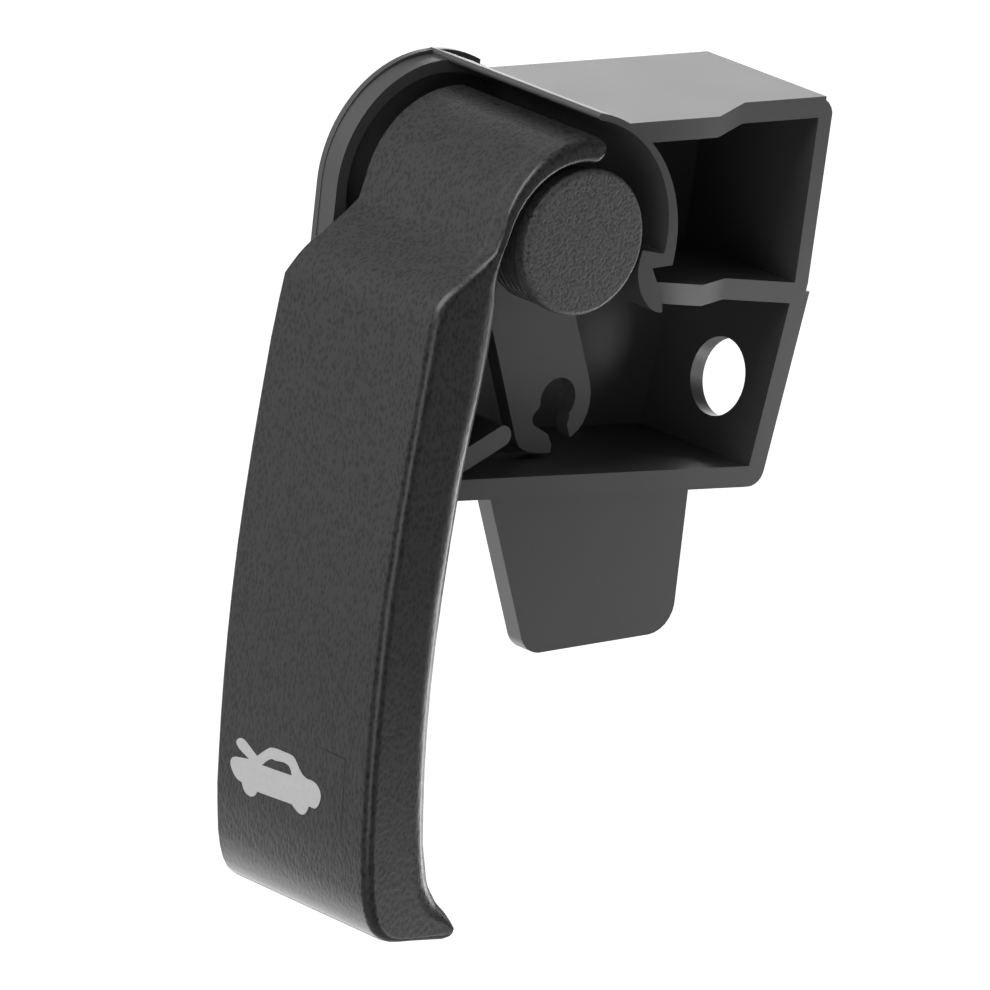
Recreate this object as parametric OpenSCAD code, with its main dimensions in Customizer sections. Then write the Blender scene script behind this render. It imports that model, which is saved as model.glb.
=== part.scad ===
// Hood release handle: a moulded lever that turns on a moulded bracket and pulls a cable.
// The origin is on the pivot axis, at the bracket's back face. X runs towards the cable
// port, Y away from the user and Z up. Depths are measured back from the button's face.

/* [Overall] */
// Depth from the button's face to the bracket's back face
depth = 39.2; // [38.8:0.2:41]

/* [Pivot] */
// Radius of the round button
button_r = 10.4; // [9.8:0.1:10.6]
// Thickness of the button's head
button_t = 2.4; // [2:0.1:2.5]
// Radius of the bracket's fixed spigot
spigot_r = 5; // [4.5:0.1:5.5]
// Radius of the blind hole in the spigot, which takes the button's stem
stem_hole_r = 3; // [2.6:0.1:3.2]
// Radial running clearance between the spigot and the lever's barrel
run_gap = 0.06; // [0.03:0.01:0.1]
// Radius of the lever's barrel
barrel_r = 8.7; // [8.2:0.1:8.8]

/* [Return spring] */
// Diameter of the spring wire
wire_d = 1.1; // [0.9:0.05:1.1]
// Number of turns
turns = 4.5; // [3.5:1:4.5]

/* [Lever] */
// Depth that the drum's end takes up behind the lever
back_end = 4.4; // [4.4:0.2:6.4]
// How much narrower the strap is than the grip
strap_inset = 3; // [2:0.2:3.4]
// Outer radius of the strap that curls over the pivot
strap_r = 14.8; // [14.4:0.1:14.9]
// Thickness of the lever's front wall
front_wall = 2.6; // [2:0.1:3.2]
// Thickness of the lever's side walls
side_wall = 2.2; // [1.8:0.1:2.6]
// Rounding of the lever's near front edge
edge_r = 1.5; // [1:0.1:2]
// Rounding of the lever's far front edge
far_r = 0.4; // [0.3:0.1:0.8]
// Length of the rolled back edge of the near side wall
back_roll = 3.3; // [2:0.1:3.6]
// Thickness of the cable arm
arm_t = 2.6; // [2:0.1:3]
// Depth of the cable arm's front face
arm_d = 15.6; // [15:0.1:15.8]

/* [Bracket] */
// Thickness of the top wall, the divider and the floor
wall = 3; // [2.6:0.1:3.2]
// Thickness of the leaning side wall
side_t = 2.4; // [2:0.1:2.8]
// Lean of the side wall below its bend, in degrees from upright
lean = 10; // [9:0.1:11]
// Depth of the front rim near the shroud
rim_near = 0.8; // [0.6:0.1:1.2]
// Depth of the front rim near the side wall
rim_far = 6.6; // [5:0.1:8]
// Distance from the box's back face to the flange's back face
box_inset = 6.1; // [5.2:0.1:7.2]
// Thickness of the box's back wall
back_t = 2.6; // [2:0.1:3]
// Radius of the cable port
port_r = 5.6; // [4.5:0.05:6.2]
// Thickness of the tongue
tongue_t = 3.2; // [2.6:0.1:3.6]

/* [Hidden] */
$fn = 96;
eps = 0.01;

// Lever against the bracket at its two ends, and other free gaps
end_gap = 0.3;
lever_w = depth - back_end - end_gap;
strap_d = lever_w - strap_inset;
barrel_back = lever_w;
barrel_front = button_t + end_gap;
// The drum's front edge beside the lever, and the flange behind it
band_d = lever_w + end_gap;
flange_t = 1;
plate_t = 2.6;
box_back = depth - box_inset;
// Button stem
stem_len = 9;
stem_gap = 0.03;
// Height of the box's top, and of the floor's upper face at the left and right
top_z = 16.4;
floor_left = [-15, -34.35];
floor_right = [39.6, -36.4];
floor_slope = (floor_right[1] - floor_left[1]) / (floor_right[0] - floor_left[0]);
// Outer corner of the side wall at the top, and the bend level with the divider
side_top_x = 47.5;
side_bend_z = -10.5;
lean_up = 2.3;
// Bead outside the side wall, along its front edge below the bend
bead_t = 0.7;
bead_w = 3;
// Where the front rim steps back, along X
step_x0 = 22.2;
step_x1 = 31.3;
// The side wall's draft over the box's depth
side_draft = 0.7;
// Farthest reach of the cable arm from the pivot
arm_reach = 36.4;

// Drawing plane: X across and Z up, filled from depth d0 back to depth d1
module slab(d0, d1) {
    translate([0, d1 - depth, 0])
        rotate([90, 0, 0])
            linear_extrude(d1 - d0) children();
}

// Cylinder along Y from depth d0 back to depth d1
module rod(r, d0, d1) {
    translate([0, d1 - depth, 0])
        rotate([90, 0, 0])
            cylinder(r = r, h = d1 - d0);
}

function polar(r, a) = [r * cos(a), r * sin(a)];

function arc(c, r, a0, a1, n) = [for (k = [0:n]) c + polar(r, a0 + (a1 - a0) * k / n)];

// Catmull-Rom curve through a list of points, n steps a span
function spline(p0, p1, p2, p3, t) =
    0.5 * (2 * p1 + (p2 - p0) * t + (2 * p0 - 5 * p1 + 4 * p2 - p3) * t * t
           + (3 * p1 - p0 - 3 * p2 + p3) * t * t * t);

function curve(p, n) = [
    for (i = [0:len(p) - 2])
        for (k = [0:n - 1])
            spline(p[max(i - 1, 0)], p[i], p[i + 1], p[min(i + 2, len(p) - 1)], k / n),
    p[len(p) - 1]
];

function reverse(p) = [for (k = [len(p) - 1:-1:0]) p[k]];

// A closed skin over a list of rings that have the same number of points. The ends are
// closed by flat caps, given as lists of ring points, or by one cap if none are given.
module skin(rings, caps = undef) {
    n = len(rings[0]);
    last = (len(rings) - 1) * n;
    ends = is_undef(caps) ? [[for (k = [0:n - 1]) k]] : caps;
    points = [for (ring = rings) for (p = ring) p];
    sides = [
        for (i = [0:len(rings) - 2])
            for (k = [0:n - 1])
                let (a = i * n + k, b = i * n + (k + 1) % n)
                    each [[a, b, a + n], [b, b + n, a + n]]
    ];
    polyhedron(
        points = points,
        faces = concat(
            sides,
            [for (cap = ends) reverse(cap)],
            [for (cap = ends) [for (k = cap) last + k]]
        ),
        convexity = 8
    );
}

// Bracket

// Side wall's outer face at height z, below its bend
side_bend_x = side_top_x - (top_z - side_bend_z) * tan(lean_up);
function side_x(z) = side_bend_x - (side_bend_z - z) * tan(lean);

// Floor's upper face at x
function floor_z(x) = floor_left[1] + (x - floor_left[0]) * floor_slope;

top_corner_r = 3.2;
box_corner_r = 2.6;
floor_low_z = floor_z(floor_right[0]) - wall;

// Outline of the box: top, leaning side with rounded corners, floor
function box_outline() = concat(
    [[floor_left[0], floor_left[1] - wall], [floor_left[0], top_z]],
    arc([side_top_x - top_corner_r, top_z - top_corner_r], top_corner_r, 90, -lean_up, 6),
    [[side_bend_x, side_bend_z]],
    arc([side_x(floor_low_z) - box_corner_r + 0.2, floor_low_z + box_corner_r], box_corner_r, -lean, -88, 6)
);

module front_step() {
    // what the box's front lacks beside the step
    translate([0, -depth, -60])
        linear_extrude(100)
            polygon([
                [step_x0, -5], [step_x0, rim_near], [step_x1, rim_far], [60, rim_far], [60, -5]
            ]);
}

draft_angle = atan(side_draft / (box_back - rim_far));

module side_place() {
    // the lower side wall's outer face: x out of the wall, y back along it, z up it
    translate([side_x(0), rim_far - depth, 0])
        rotate([0, lean, 0])
            rotate([0, 0, draft_angle])
                children();
}

module side_place_up() {
    // the same for the wall above its bend
    translate([side_top_x, rim_far - depth, top_z])
        rotate([0, lean_up, 0])
            rotate([0, 0, draft_angle])
                children();
}

module side_beyond() {
    // everything outside the side wall
    side_place() translate([0, -20, -80]) cube([20, 80, 160]);
    side_place_up() translate([0, -20, -80]) cube([20, 80, 160]);
}

module side_within() {
    // everything inside the side wall
    intersection() {
        side_place() translate([-80 - side_t, -20, -80]) cube([80, 80, 160]);
        side_place_up() translate([-80 - side_t, -20, -80]) cube([80, 80, 160]);
    }
}

// Drum: an eccentric shroud on the right, with its inside round the strap
shroud_c = [-2.5, -0.9];
shroud_r = 19.4;
shroud_in_c = [-1.95, 0.3];
shroud_in_r = 17.15;
shroud_cut_x = 0.7;
shroud_end_z = -4.4;

// The shroud's end over the strap is rounded across the wall's thickness there
shroud_lip_x = shroud_cut_x + 0.5;
function circle_top(c, r, x) = c[1] + sqrt(r * r - (x - c[0]) * (x - c[0]));
lip_high = circle_top(shroud_c, shroud_r, shroud_lip_x);
lip_low = circle_top(shroud_in_c, shroud_in_r, shroud_lip_x);

module shroud_lip() {
    translate([shroud_lip_x, (lip_high + lip_low) / 2]) circle(r = (lip_high - lip_low) / 2, $fn = 24);
}

module shroud_profile() {
    intersection() {
        difference() {
            translate(shroud_c) circle(r = shroud_r);
            translate(shroud_in_c) circle(r = shroud_in_r);
        }
        translate([shroud_lip_x, shroud_end_z]) square([30, 40]);
    }
    shroud_lip();
}

module shroud_fill() {
    // everything inside the shroud's outer face, kept clear of the box
    intersection() {
        translate(shroud_c) circle(r = shroud_r);
        translate([shroud_lip_x, shroud_end_z]) square([30, 40]);
    }
    shroud_lip();
}

// The bar and the curved finger that close the upper pocket beside the pivot
module pocket_wall_profile() {
    polygon(concat(
        [[16.6, -1.4], [14.7, -2.65], [11.0, -1.9]],
        curve([[10.7, -3.2], [10.6, -5.2], [11.5, -8.0], [13.3, -10.2], [15.1, -11.1]], 4),
        curve([[15.7, -11.0], [15.3, -9.3], [14.3, -7.0], [13.1, -4.6]], 3),
        [[16.3, -4.4]]
    ));
}

// The divider's front edge is set back from the finger's
finger_proud = 0.4;
module divider_profile() {
    polygon([[13.5, -6.65], [44.9, -10.35], [44.9, -10.35 - wall], [14.6, -6.8 - wall]]);
}

module top_wall_profile() {
    difference() {
        translate([3.4, top_z - wall]) square([42.6, wall]);
        translate(shroud_in_c) circle(r = shroud_in_r + 0.2);
    }
}

module side_wall() {
    difference() {
        slab(rim_far, box_back) polygon(box_outline());
        side_beyond();
        side_within();
    }
}

module side_bead() {
    difference() {
        slab(rim_far, rim_far + bead_w) intersection() {
            translate([bead_t, 0]) polygon(box_outline());
            translate([20, -60]) square([40, 60 + side_bend_z - 1.2]);
        }
        side_within();
    }
}

module floor_profile() {
    intersection() {
        polygon(box_outline());
        polygon([
            [-40, floor_z(-40)], [60, floor_z(60)], [60, -60], [-40, -60]
        ]);
    }
}

// The drum's clear inside, which the back wall leaves open for the lever
drum_open_r = 16;

module back_wall_profile() {
    difference() {
        polygon(box_outline());
        circle(r = drum_open_r);
        translate(shroud_in_c) circle(r = shroud_in_r);
        translate([-40, -13]) square([40 + shroud_cut_x, 40]);
    }
}

module collar_profile() {
    // lower part of the drum, behind the box
    difference() {
        circle(r = drum_open_r + 1.6);
        circle(r = drum_open_r);
        translate([-30, -2]) square([60, 40]);
        rotate(55) translate([-40, -40]) square([40, 80]);
    }
}

band_c = [0.95, 0];
band_r = 17.45;
flange_c = [1.35, 0.1];
flange_r = 17.95;
// The drum's left side runs straight down, so that its end is a U on its side
drum_down_z = -11;

module drum_disc_profile() {
    union() {
        translate(band_c) circle(r = band_r);
        translate([band_c[0] - band_r, drum_down_z]) square([band_r, band_c[1] - drum_down_z]);
        shroud_fill();
    }
}

module flange_profile() {
    // the flange stands out from the left round to the top
    intersection() {
        union() {
            translate(flange_c) circle(r = flange_r);
            translate([flange_c[0] - flange_r, drum_down_z]) square([flange_r, flange_c[1] - drum_down_z]);
        }
        polygon([[-30, drum_down_z], [-30, 30], [9.4, 30], [9.4, 0], [0, drum_down_z]]);
    }
}

// Stop rib above the floor's left end
module stop_rib_profile() {
    rib_t = 3;
    a = [-14, -33.4];
    b = [-4.8, -29];
    dir = atan2(b[1] - a[1], b[0] - a[0]);
    union() {
        translate(a) rotate(dir) translate([0, -rib_t / 2]) square([norm(b - a), rib_t]);
        translate(b) circle(r = rib_t / 2);
        translate([-15, -35.4]) square([3.2, 3.2]);
    }
}

// Tongue below the box, with round lower corners
tongue_d = 8;
module tongue_profile() {
    polygon(concat(
        [[-6.2, -36]],
        arc([6.3, -57.4], 3.7, 205, 268, 5),
        arc([25.3, -55.6], 4.5, 275, 355, 6),
        [[30.0, -38], [30.0, -36]]
    ));
}

module cable_port() {
    // square to the leaning wall
    port_along = 10.7;
    port_down = 27.15;
    side_place()
        translate([-side_t / 2, port_along, -port_down])
            rotate([0, 90, 0])
                cylinder(r = port_r, h = 3 * side_t, center = true);
}

module arm_groove() {
    // lets the cable arm's tip swing past the floor
    groove_gap = 0.45;
    rod(arm_reach + groove_gap, arm_d - groove_gap, arm_d + arm_t + groove_gap);
}

module box() {
    difference() {
        union() {
            slab(rim_near, box_back) top_wall_profile();
            slab(rim_near + finger_proud, box_back - eps) divider_profile();
            slab(box_back - back_t, box_back) back_wall_profile();
            side_wall();
        }
        front_step();
        side_beyond();
        cable_port();
    }
    side_bead();
    difference() {
        slab(rim_far, box_back) floor_profile();
        side_beyond();
        arm_groove();
    }
}

module drum() {
    slab(rim_near, depth - flange_t) shroud_profile();
    slab(rim_near, depth - flange_t) pocket_wall_profile();
    slab(box_back - back_t, depth - plate_t) collar_profile();
    slab(depth - plate_t, depth - flange_t) drum_disc_profile();
    slab(band_d, depth - plate_t) difference() {
        drum_disc_profile();
        translate(band_c) circle(r = band_r - 1.8);
    }
    slab(depth - flange_t, depth) union() {
        drum_disc_profile();
        flange_profile();
    }
}

module bracket() {
    color([0.2, 0.2, 0.21]) {
        difference() {
            union() {
                box();
                drum();
                rod(barrel_r, band_d, depth - plate_t);
                rod(spigot_r, button_t, depth - plate_t);
                slab(rim_far + 0.9, arm_d - 1.6) stop_rib_profile();
                slab(tongue_d, tongue_d + tongue_t) tongue_profile();
            }
            rod(stem_hole_r, button_t - 1, button_t + stem_len + 0.5);
        }
    }
}

// Lever

// Each station pairs a point on the lever's outer outline with one on its back edge
strap_a0 = 86.6;
strap_a1 = 172;
strap_t0 = 3.2;
strap_t1 = 1.25;
function strap_station(a) =
    let (t = strap_t0 + (strap_t1 - strap_t0) * (a - strap_a0) / (strap_a1 - strap_a0))
        concat(polar(strap_r, a), polar(strap_r - t, a), [strap_inset]);

// The strap's tip with its rounded corners, then the strap, as outline point, back-edge
// point and how much narrower than the grip it is there
tip_r = 1.2;
tip_stations = [
    for (k = [0:3])
        let (
            a = strap_a0 - tip_r / strap_r * 180 / PI * cos(90 * k / 3),
            h = strap_t0 / 2 - tip_r + tip_r * sin(90 * k / 3)
        )
            concat(polar(strap_r - strap_t0 / 2 + h, a), polar(strap_r - strap_t0 / 2 - h, a), [strap_inset])
];
strap_steps = 11;
strap_stations = [
    for (k = [0:strap_steps]) strap_station(strap_a0 + (strap_a1 - strap_a0) * k / strap_steps)
];

shoulder_stations = curve([
    [-15.35, -0.35, -14.1, 0.0, strap_inset],
    [-17.4, -2.2, -14.6, -2.1, strap_inset],
    [-20.2, -4.15, -14.9, -4.2, strap_inset],
    [-22.8, -6.0, -15.05, -6.4, 0.97 * strap_inset],
    [-24.3, -8.1, -15.1, -8.6, 0.73 * strap_inset],
    [-25.0, -11.0, -15.3, -11.2, 0.2 * strap_inset]
], 2);

front_stations = curve([
    [-25.0, -11.0, -15.3, -11.2, 0.2 * strap_inset],
    [-25.8, -20.4, -16.1, -19.6, 0],
    [-27.15, -36.0, -17.9, -33.5, 0],
    [-27.95, -50.0, -18.95, -49.0, 0],
    [-28.1, -62.7, -19.25, -62.2, 0],
    [-27.8, -74.1, -18.8, -74.0, 0],
    [-27.2, -84.2, -17.8, -84.5, 0]
], 2);

toe_stations = curve([
    [-27.2, -84.2, -17.8, -84.5, 0],
    [-26.2, -91.2, -16.7, -89.2, 0],
    [-24.8, -95.4, -16.0, -91.4, 0],
    [-23.0, -97.5, -14.9, -93.0, 0],
    [-20.8, -98.4, -13.9, -94.1, 0],
    [-17.0, -98.6, -12.1, -95.3, 0],
    [-11.6, -98.8, -10.9, -96.2, 0],
    [-10.5, -98.1, -10.2, -97.1, 0]
], 2);

function tail(p) = [for (i = [1:len(p) - 1]) p[i]];
stations = concat(tip_stations, tail(strap_stations), shoulder_stations,
                  tail(front_stations), tail(toe_stations));

// One cross-section of the lever's channel at station i, as points in space
function section(i) =
    let (
        s = stations[i],
        f = [s[0], s[1]],
        b = [s[2], s[3]],
        ahead = stations[min(i + 1, len(stations) - 1)],
        behind = stations[max(i - 1, 0)],
        along = [ahead[0] - behind[0], ahead[1] - behind[1]],
        inward = [-along[1], along[0]] / norm(along),
        reach = norm(b - f),
        dir = (b - f) / reach,
        lip = max(0.4, abs(dir * inward)),
        far = lever_w - max(0, s[4]),
        w = min(front_wall / lip, reach - 0.06),
        r = min(edge_r, 0.42 * reach),
        roll = min(back_roll, 0.35 * reach),
        near = reach + roll * (0.22 + 0.28 * roll / back_roll),
        roll_in = min(0.58 * roll, side_wall - 0.25),
        outer = concat(
            [for (a = [0:30:90]) [near - roll + roll * cos(a), roll_in - roll_in * sin(a)]],
            [for (a = [0:22.5:90]) [r - r * sin(a), r - r * cos(a)]],
            [for (a = [0:45:90]) [far_r - far_r * cos(a), far - far_r + far_r * sin(a)]],
            [[reach, far]]
        ),
        inner = [[reach, far - side_wall], [w, far - side_wall], [w, side_wall], [near, side_wall]]
    )
        [for (p = concat(outer, inner)) [f[0] + dir[0] * p[0], p[1] - depth, f[1] + dir[1] * p[0]]];

// The channel's ends are closed over the near wall, the front wall and the far wall
channel_caps = [[0, 1, 2, 3, 4, 15, 16], [4, 5, 6, 7, 8, 9, 10, 11, 14, 15], [11, 12, 13, 14]];

module shell() {
    skin([for (i = [len(stations) - 1:-1:0]) section(i)], channel_caps);
}

// Web that joins the barrel to the inside of the strap and the shoulder
module web_profile() {
    hub_r = 10.5;
    web_in = 0.9;
    union() {
        circle(r = hub_r);
        polygon(concat(
            [for (a = [92 : 8 : 172]) polar(strap_r - web_in, a)],
            [[-15.6, -1.9], [-22.6, -7.2], [-23.9, -11], [-24.4, -16], [-21, -16], [-9, -8]]
        ));
    }
}

// The cable arm hangs from the hub and ends in a hook round the cable's nipple
nipple_c = [11.1, -27.0];
nipple_r = 3.1;
module arm_profile() {
    difference() {
        polygon(concat(
            [[-7.6, -2], [-2.4, -14.9], [4.3, -32.2]],
            curve([[5.0, -33.4], [7.1, -34.4], [10.7, -34.7]], 3),
            [[10.8, -33.6]],
            curve([[10.0, -32.0], [8.6, -31.2], [7.2, -30.3], [6.9, -29.2], [8.0, -27.9]], 3),
            [[11, -26], [13.5, -29.5], [13.2, -30.9]],
            curve([[14.0, -32.7], [15.6, -31.4], [16.6, -29.4], [16.9, -26.9], [16.4, -24.6]], 3),
            [[12.9, -15.9], [9.0, -5]]
        ));
        translate(nipple_c) circle(r = nipple_r);
    }
}

module lever() {
    color([0.19, 0.19, 0.2])
        difference() {
            union() {
                shell();
                rod(barrel_r, barrel_front, barrel_back);
                slab(arm_d, arm_d + arm_t) union() {
                    web_profile();
                    arm_profile();
                }
                slab(strap_d - arm_t, strap_d - eps) web_profile();
            }
            rod(spigot_r + run_gap, -1, depth);
        }
}

// Button with a stem that snaps into the spigot
module pivot_button() {
    rim = 0.9;
    color([0.2, 0.2, 0.21])
        translate([0, -depth, 0])
            rotate([-90, 0, 0])
                rotate_extrude()
                    polygon(concat(
                        [[0, 0]],
                        [for (k = [0:6]) [button_r - rim + rim * sin(15 * k), rim - rim * cos(15 * k)]],
                        [
                            [button_r, button_t],
                            [stem_hole_r - stem_gap, button_t],
                            [stem_hole_r - stem_gap, button_t + stem_len - 0.8],
                            [stem_hole_r - 0.8, button_t + stem_len],
                            [0, button_t + stem_len]
                        ]
                    ));
}

// Torsion spring round the barrel, with one leg out over the bar beside the pivot
coil_r = button_r - 0.1 - wire_d / 2;
coil_pitch = wire_d + 0.12;
coil_front = button_t + 0.2 + wire_d / 2;
leg_len = 6;
wire_sides = 8;

function wire_ring(c, u, v) =
    [for (k = [0:wire_sides - 1]) let (a = 360 * k / wire_sides) c + wire_d / 2 * (cos(a) * u + sin(a) * v)];

function coil_ring(a) =
    let (out = [cos(a), 0, sin(a)])
        wire_ring(coil_r * out + [0, coil_front + coil_pitch * a / 360 - depth, 0], out, [0, 1, 0]);

module return_spring() {
    last = 360 * turns + 90;
    end = [coil_r * cos(last), coil_front + coil_pitch * last / 360 - depth, coil_r * sin(last)];
    color([0.16, 0.16, 0.17])
        skin(reverse(concat(
            [for (a = [90 : 15 : last]) coil_ring(a)],
            [wire_ring(end + leg_len * [-sin(last), 0, cos(last)], [cos(last), 0, sin(last)], [0, 1, 0])]
        )));
}

bracket();
lever();
pivot_button();
return_spring();
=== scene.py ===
from math import cos, radians, sin

import bpy
from mathutils import Matrix, Vector


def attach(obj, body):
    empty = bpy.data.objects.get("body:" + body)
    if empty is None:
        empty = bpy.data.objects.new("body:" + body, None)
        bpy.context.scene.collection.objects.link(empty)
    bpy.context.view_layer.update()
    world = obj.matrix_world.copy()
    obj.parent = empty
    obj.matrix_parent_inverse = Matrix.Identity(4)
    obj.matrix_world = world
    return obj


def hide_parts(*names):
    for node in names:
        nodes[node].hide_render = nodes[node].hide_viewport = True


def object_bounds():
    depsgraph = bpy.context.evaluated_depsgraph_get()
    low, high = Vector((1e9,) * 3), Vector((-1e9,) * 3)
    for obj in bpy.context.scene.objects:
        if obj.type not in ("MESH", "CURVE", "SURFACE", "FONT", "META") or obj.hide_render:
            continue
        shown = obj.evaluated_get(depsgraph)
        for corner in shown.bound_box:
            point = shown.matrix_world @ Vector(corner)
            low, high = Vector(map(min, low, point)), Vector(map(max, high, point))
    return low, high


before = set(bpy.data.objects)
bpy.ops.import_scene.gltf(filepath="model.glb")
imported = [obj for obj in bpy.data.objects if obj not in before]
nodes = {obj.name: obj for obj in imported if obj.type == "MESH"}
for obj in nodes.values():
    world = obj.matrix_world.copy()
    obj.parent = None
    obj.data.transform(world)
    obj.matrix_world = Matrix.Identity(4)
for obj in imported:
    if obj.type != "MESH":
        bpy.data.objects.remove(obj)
cad_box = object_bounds()


# Camera. A long lens from the front left and a little above, turned a few degrees on its axis.
# The frame is square. The camera stands a little left of the button and below it, so that the
# button sits up and to the right in the frame.
turn, lift, tilt = radians(-39.6), radians(14.353), radians(6.137)
distance = 2.12288
to_the_left, below = 0.012401, 0.034441
look = Vector((-sin(turn) * cos(lift), cos(turn) * cos(lift), -sin(lift)))
level = Vector((cos(turn), sin(turn), 0))
above = level.cross(look)
right = cos(tilt) * level + sin(tilt) * above
up = cos(tilt) * above - sin(tilt) * level
button_face = cad_box[0][1]
button_middle = Vector((0, button_face, 0))
camera_data = bpy.data.cameras.new("camera")
camera_data.sensor_width = 36
camera_data.lens = 563.5
camera_data.clip_end = 30
camera = bpy.data.objects.new("camera", camera_data)
bpy.context.scene.collection.objects.link(camera)
stand = Matrix((right, up, -look)).transposed().to_4x4()
stand.translation = button_middle - distance * look - to_the_left * right - below * up
camera.matrix_world = stand
bpy.context.scene.camera = camera
bpy.context.scene.view_settings.view_transform = "Standard"


# Studio. A white sweep well below the handle, a white room round it and large soft lamps.
# The room and the floor show as plain white, and the floor keeps the handle's shadow.
class Wire:
    """A value on its way through a material. Arithmetic on it adds Math nodes."""

    def __init__(self, tree, socket=None):
        self.tree, self.socket = tree, socket

    def make(self, kind, settings=None, sockets=None, out=0):
        """Adds a node, sets it up, then fills its sockets with values or other wires."""
        node = self.tree.nodes.new(kind)
        for name, value in (settings or {}).items():
            setattr(node, name, value)
        for name, value in (sockets or {}).items():
            if isinstance(value, Wire):
                self.tree.links.new(value.socket, node.inputs[name])
            else:
                node.inputs[name].default_value = value
        return Wire(self.tree, node.outputs[out]) if node.outputs else node

    def math(self, operation, first, second=0.0):
        return self.make("ShaderNodeMath", {"operation": operation}, {0: first, 1: second})

    def __add__(self, other):
        return self.math("ADD", self, other)

    def __sub__(self, other):
        return self.math("SUBTRACT", self, other)

    def __rsub__(self, other):
        return self.math("SUBTRACT", other, self)

    def __mul__(self, other):
        return self.math("MULTIPLY", self, other)

    def __pow__(self, other):
        return self.math("POWER", self, other)

    __radd__ = __add__
    __rmul__ = __mul__

    def size(self):
        """The value without its sign."""
        return self.math("ABSOLUTE", self)

    def at_least(self, other):
        return self.math("MAXIMUM", self, other)

    def at_most(self, other):
        return self.math("MINIMUM", self, other)

    def clamped(self, low, high):
        """0 below low, 1 above high, and a straight run between them."""
        return self.make("ShaderNodeMapRange", {}, {0: self, 1: low, 2: high, 3: 0.0, 4: 1.0})


def shown_white(tree, lighting):
    """A strength that shows plain white to the camera, and lights the handle by lighting."""
    seen = Wire(tree).make("ShaderNodeLightPath")
    return seen * (1.0 - lighting) + lighting


world = bpy.data.worlds.new("white_room")
world.use_nodes = True
tree = world.node_tree
tree.nodes.clear()
room = Wire(tree).make(
    "ShaderNodeBackground", {}, {"Color": (1, 1, 1, 1), "Strength": shown_white(tree, 0.18)})
Wire(tree).make("ShaderNodeOutputWorld", {}, {"Surface": room})
bpy.context.scene.world = world

grip_and_box = Vector((0, 0, -0.03))
front_of_box = Vector((0.01, -0.02, -0.04))


def lamp(name, place, aim, width, power):
    """A square soft lamp at a place, turned to face a point."""
    data = bpy.data.lights.new(name, "AREA")
    data.shape = "RECTANGLE"
    data.size = data.size_y = width
    data.energy = power
    lit = bpy.data.objects.new(name, data)
    bpy.context.scene.collection.objects.link(lit)
    lit.location = place
    lit.rotation_euler = (aim - Vector(place)).to_track_quat("-Z", "Y").to_euler()


lamp("lamp_behind_low", (0, 0.75, -0.6), grip_and_box, 0.9, 5.5)
lamp("lamp_behind_right", (0.75, 0.7, 0), grip_and_box, 0.9, 8.2)
lamp("lamp_behind_high", (0, 0.75, 0.65), grip_and_box, 0.9, 0.7)
lamp("lamp_behind_left", (-0.7, 0.75, -0.1), grip_and_box, 0.9, 0.4)
lamp("lamp_behind_left_high", (-0.5, 0.75, 0.25), grip_and_box, 0.5, 0.35)
lamp("lamp_front_left", (-0.8, -0.65, -0.2), grip_and_box, 0.6, 2.1)
lamp("card_high_left", (-0.3, 0, 0.3), front_of_box, 0.4, 2.3)
lamp("card_behind_left", (-0.3, 0.25, -0.05), front_of_box, 0.2, 0.043)
lamp("card_right_high", (0.16, -0.1, -0.02), front_of_box, 0.06, 0.028)
lamp("card_right_low", (0.18, -0.05, -0.12), front_of_box, 0.08, 0.15)
lamp("card_front_low", (0.08, -0.16, -0.16), front_of_box, 0.08, 0.012)
lamp("card_front_near", (0.1, -0.08, -0.04), front_of_box, 0.04, 0.009)
lamp("card_under_toe", (0.14, -0.2, -0.22), front_of_box, 0.1, 0.105)

bpy.ops.object.select_all(action="DESELECT")
bpy.ops.mesh.primitive_plane_add(size=9, location=(0, 0, -0.9))
floor = bpy.context.active_object
floor.name = "floor"
paper = bpy.data.materials.new("white_paper")
paper.use_nodes = True
tree = paper.node_tree
tree.nodes.clear()
matt = Wire(tree).make("ShaderNodeBsdfDiffuse", {}, {"Color": (0.9, 0.9, 0.9, 1)})
shine = Wire(tree).make("ShaderNodeEmission", {}, {"Color": (1, 1, 1, 1), "Strength": shown_white(tree, 0.0)})
both = Wire(tree).make("ShaderNodeAddShader", {}, {0: matt, 1: shine})
Wire(tree).make("ShaderNodeOutputMaterial", {}, {"Surface": both})
floor.data.materials.append(paper)


# Bracket. The moulded box that sits against the panel under the dash, in smooth satin black
# plastic. One moulding, with its sharp edges slightly rounded as they leave the mould.
def start_material(name):
    """An empty material, a wire to build it from, and the place on the piece."""
    material = bpy.data.materials.new(name)
    material.use_nodes = True
    tree = material.node_tree
    tree.nodes.clear()
    begin = Wire(tree)
    spot = begin.make("ShaderNodeTexCoord", out=3)
    return material, begin, spot


def mottle(begin, spot, scale, detail):
    """Soft random patches."""
    return begin.make("ShaderNodeTexNoise", {}, {"Vector": spot, "Scale": scale, "Detail": detail})


def relief(begin, height, strength, distance):
    """Small raised and sunk places that follow a pattern."""
    return begin.make("ShaderNodeBump", {}, {"Strength": strength, "Distance": distance, "Height": height})


def blend(begin, factor, first, second):
    """A colour between two, each given as a grey level or a wire."""
    ends = [end if isinstance(end, Wire) else (end, end, end, 1) for end in (first, second)]
    return begin.make("ShaderNodeMix", {"data_type": "RGBA"}, {0: factor, 6: ends[0], 7: ends[1]}, out=2)


def finish_material(begin, colour, roughness, normal):
    """Joins colour, roughness and relief to the plastic shader, and the shader to the output."""
    sockets = {"Base Color": colour, "Roughness": roughness, "Normal": normal}
    shader = begin.make("ShaderNodeBsdfPrincipled", {}, sockets)
    begin.make("ShaderNodeOutputMaterial", {}, {"Surface": shader})


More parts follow.
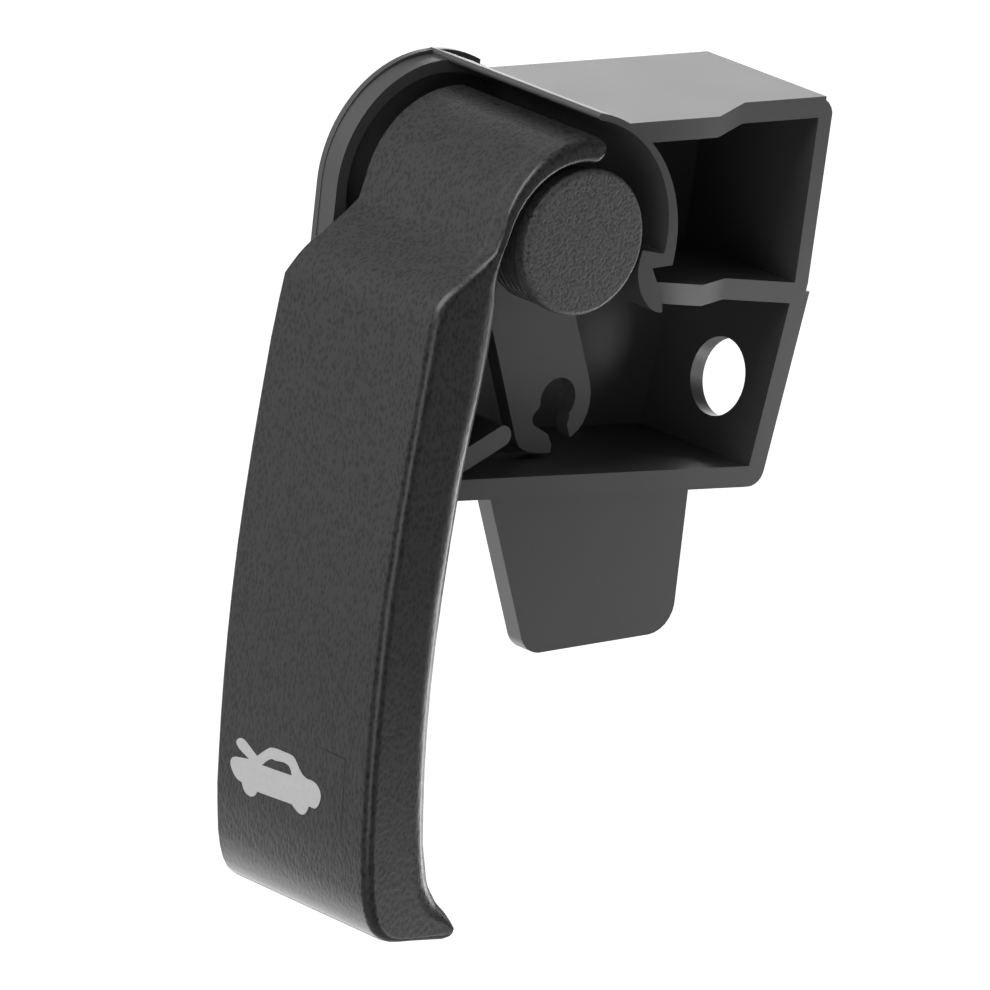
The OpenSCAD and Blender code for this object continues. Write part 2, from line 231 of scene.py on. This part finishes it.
bracket_plastic, begin, spot = start_material("bracket_plastic")
clouds = mottle(begin, spot, 55.0, 3.0)
satin = relief(begin, mottle(begin, spot, 1400.0, 2.0), 0.12, 0.0001)
finish_material(begin, blend(begin, clouds, 0.053, 0.060), clouds * 0.06 + 0.40, satin)


def moulding(node_name, copy_name, body, material, eased_edge):
    """A merged copy that stands for a CAD node, smooth but for its corners, which may be eased."""
    bpy.ops.object.select_all(action="DESELECT")
    copy = bpy.data.objects.new(copy_name, nodes[node_name].data.copy())
    bpy.context.scene.collection.objects.link(copy)
    bpy.context.view_layer.objects.active = copy
    copy.select_set(True)
    bpy.ops.object.mode_set(mode="EDIT")
    bpy.ops.mesh.select_all(action="SELECT")
    bpy.ops.mesh.remove_doubles(threshold=1e-6)
    bpy.ops.mesh.dissolve_limited(angle_limit=radians(0.2))
    bpy.ops.object.mode_set(mode="OBJECT")
    if eased_edge:
        eased = copy.modifiers.new("eased_edges", "BEVEL")
        eased.width = eased_edge
        eased.segments = 3
        eased.limit_method = "ANGLE"
        eased.angle_limit = radians(50)
        bpy.ops.object.modifier_apply(modifier=eased.name)
    bpy.ops.object.shade_smooth_by_angle(angle=radians(40))
    flat_kept = copy.modifiers.new("flat_faces_kept_flat", "WEIGHTED_NORMAL")
    flat_kept.keep_sharp = True
    bpy.ops.object.modifier_apply(modifier=flat_kept.name)
    copy.data.materials.clear()
    copy.data.materials.append(material)
    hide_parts(node_name)
    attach(copy, body)
    return copy


eased_edge = 0.00012
moulding("bracket", "bracket_moulding", "bracket", bracket_plastic, eased_edge)


# Lever. The pull handle, one moulding in charcoal plastic with a grain of fine dark pits drawn
# out along its length. The arm, webs and barrel inside it are matt and coloured lighter, and the strap's near
# edge carries a little painted light.
# A thin line marks the flush panel that carries the printed figure.
lever_plastic, begin, spot = start_material("lever_plastic")


def along(begin, spot, axis):
    """One coordinate of the place on the piece, in millimetres."""
    return begin.make("ShaderNodeSeparateXYZ", {}, {"Vector": spot}, out=axis) * 1000.0


across = along(begin, spot, 0)
depth = along(begin, spot, 1) - button_face * 1000
height = along(begin, spot, 2)
from_axis = (across * across + height * height) ** 0.5

near_wall, barrel_r, strap_r = 2.3, 11.2, 17.5
arm_and_webs = across.clamped(-14.5, -14.3) * (1 - height.clamped(-1.2, -1.0)) * height.clamped(-60.0, -59.0)
barrel = 1 - from_axis.clamped(barrel_r, barrel_r + 0.2)
inside = arm_and_webs.at_least(barrel) * depth.clamped(near_wall, near_wall + 0.3)
# Painted light: the strap's near rolled edge takes a little of the lighter matt colour, as a painted highlight
# for the light that falls there.
painted_light_on_strap_edge = (1 - from_axis.clamped(strap_r, strap_r + 1.5)) * (1 - depth.clamped(3.2, 3.5))
lighter_parts_and_painted_edge_light = inside.at_least(painted_light_on_strap_edge * depth.clamped(2.4, 3.0) * 0.15)

drawn_out = begin.make("ShaderNodeMapping", {}, {"Vector": spot, "Scale": (1.0, 1.0, 0.6)})
cells = begin.make("ShaderNodeTexVoronoi", {"feature": "SMOOTH_F1"},
                   {"Vector": drawn_out, "Scale": 1900.0, "Smoothness": 0.5})
grain = cells * 0.7 + mottle(begin, spot, 700.0, 1.0) * 0.3
pits = blend(begin, grain.clamped(0.28, 0.55), 0.005, 0.023)

grip_front, panel_side, panel_top, panel_bottom = -26.5, 5.85, -72.8, -85.0
side_line = 1 - (depth - panel_side).size().clamped(0.1, 0.25)
side_line = side_line * height.clamped(panel_bottom, panel_bottom + 1) * (1 - height.clamped(panel_top, -72.6))
top_line = 1 - (height - panel_top).size().clamped(0.1, 0.25)
top_line = top_line * depth.clamped(5.7, 5.9) * (1 - depth.clamped(9.5, 14.0))
panel_line = (side_line + top_line).at_most(1.0) * (1 - (across - grip_front).clamped(0.0, 0.4))

shell = blend(begin, panel_line, pits, 0.002)
# The lighter colour here also carries the painted highlight on the strap's near edge.
colour = blend(begin, lighter_parts_and_painted_edge_light, shell, 0.076)
dullness = (lighter_parts_and_painted_edge_light + panel_line).at_most(1.0) * 0.27 + 0.33
finish_material(begin, colour, dullness, relief(begin, grain * (1 - lighter_parts_and_painted_edge_light), 1.0, 0.00003))
lever_body = moulding("lever", "lever_moulding", "lever", lever_plastic, eased_edge)


# Hood figure. A car with its hood up, the common sign for this lever, printed in light grey
# paint on the grip's front. It is a film of paint that follows the plastic below it.
bpy.ops.object.select_all(action="DESELECT")
outline = bpy.data.curves.new("hood_figure", "CURVE")
outline.dimensions = "2D"
outline.fill_mode = "BOTH"
outline.resolution_u = 5
smooth, sharp = "AUTO", "VECTOR"


def closed_line(corners):
    """A closed line through points, each given as depth and height in mm and its kind."""
    line = outline.splines.new("BEZIER")
    line.bezier_points.add(len(corners) - 1)
    for point, (depth_mm, height_mm, kind) in zip(line.bezier_points, corners):
        point.co = (depth_mm / 1000, height_mm / 1000, 0)
        point.handle_left_type = point.handle_right_type = kind
    line.use_cyclic_u = True


raised_lid = [
    (30.3, -77.3, smooth), (30.15, -76.9, smooth), (29.5, -76.45, smooth), (28.6, -76.4, smooth),
    (28.16, -76.55, sharp), (25.48, -77.93, sharp)]
roof_and_tail = [
    (23.6, -76.5, sharp), (22.7, -75.95, smooth), (21.6, -75.7, smooth), (19.49, -75.62, sharp),
    (17.5, -75.68, smooth), (16.9, -75.95, sharp), (14.9, -77.75, smooth), (13.9, -78.0, sharp),
    (13.2, -77.93, smooth), (11.81, -78.2, smooth), (10.83, -79.21, smooth), (10.85, -80.2, smooth),
    (11.7, -81.55, smooth), (12.3, -81.75, sharp)]
rear_wheel = [
    (13.31, -81.73, sharp), (13.64, -82.52, smooth), (14.5, -83.3, smooth), (15.6, -83.3, smooth),
    (16.4, -82.95, sharp), (17.11, -82.54, sharp)]
front_wheel = [
    (24.97, -82.98, sharp), (25.7, -83.8, smooth), (27.0, -84.06, smooth), (28.2, -83.4, smooth),
    (28.6, -82.6, sharp)]
nose = [
    (29.6, -82.45, smooth), (30.8, -81.6, smooth), (31.35, -80.4, smooth), (31.0, -79.7, smooth),
    (30.2, -79.35, sharp), (27.23, -78.86, sharp), (29.6, -78.0, sharp)]
window = [
    (24.3, -78.9, sharp), (22.9, -77.8, smooth), (22.1, -77.42, smooth), (21.4, -77.42, sharp),
    (18.6, -77.2, smooth), (18.0, -77.5, smooth), (17.45, -78.49, sharp)]
closed_line(raised_lid + roof_and_tail + rear_wheel + front_wheel + nose)
closed_line(window)
figure = bpy.data.objects.new("hood_figure", outline)
bpy.context.scene.collection.objects.link(figure)
bpy.context.view_layer.objects.active = figure
figure.select_set(True)
bpy.ops.object.convert(target="MESH")
figure = bpy.context.active_object
before_grip = -0.032
figure.data.transform(Matrix(((0, 0, -1, before_grip), (1, 0, 0, button_face), (0, 1, 0, 0), (0, 0, 0, 1))))
bpy.ops.object.mode_set(mode="EDIT")
bpy.ops.mesh.select_all(action="SELECT")
bpy.ops.mesh.remove_doubles(threshold=1e-6)
bpy.ops.mesh.quads_convert_to_tris()
bpy.ops.mesh.subdivide(number_cuts=2)
bpy.ops.object.mode_set(mode="OBJECT")
film_thickness = 0.00003
laid_on = figure.modifiers.new("laid_on_the_grip", "SHRINKWRAP")
laid_on.target = lever_body
laid_on.wrap_method = "PROJECT"
laid_on.use_project_x = True
laid_on.use_project_y = laid_on.use_project_z = False
laid_on.use_negative_direction = laid_on.use_positive_direction = True
laid_on.wrap_mode = "OUTSIDE_SURFACE"
laid_on.offset = film_thickness
bpy.ops.object.modifier_apply(modifier=laid_on.name)
film = figure.modifiers.new("film_of_paint", "SOLIDIFY")
film.thickness = film_thickness
film.offset = 0
bpy.ops.object.modifier_apply(modifier=film.name)
bpy.ops.object.mode_set(mode="EDIT")
bpy.ops.mesh.select_all(action="SELECT")
bpy.ops.mesh.normals_make_consistent(inside=False)
bpy.ops.object.mode_set(mode="OBJECT")
figure_paint, begin, spot = start_material("figure_paint")
fine = mottle(begin, spot, 1500.0, 2.0)
finish_material(begin, blend(begin, fine, 0.45, 0.52), fine * 0.1 + 0.5, relief(begin, fine, 0.3, 0.0001))
figure.data.materials.clear()
figure.data.materials.append(figure_paint)
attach(figure, "lever")


# Return spring. A torsion spring of black coated wire, slipped over the lever's barrel before
# the button goes in.
spring_steel, begin, spot = start_material("spring_steel")
fine = mottle(begin, spot, 900.0, 2.0)
finish_material(begin, blend(begin, fine, 0.03, 0.05), fine * 0.1 + 0.35, relief(begin, fine, 0.1, 0.0001))
for slot in nodes["return_spring"].material_slots:
    slot.material = spring_steel


# Pivot button. A round cap of charcoal plastic with a pebble grain, whose stem snaps into the
# bracket's spigot and keeps the lever on it.
button_plastic, begin, spot = start_material("button_plastic")
cells = begin.make("ShaderNodeTexVoronoi", {"feature": "SMOOTH_F1"},
                   {"Vector": spot, "Scale": 2100.0, "Smoothness": 0.5})
pebbles = cells * 0.6 + mottle(begin, spot, 1300.0, 1.0) * 0.4
colour = blend(begin, pebbles.clamped(0.30, 0.54), 0.030, 0.076)
finish_material(begin, colour, pebbles * 0.1 + 0.46, relief(begin, pebbles, 1.0, 0.00011))
moulding("pivot_button", "button_cap", "bracket", button_plastic, 0)
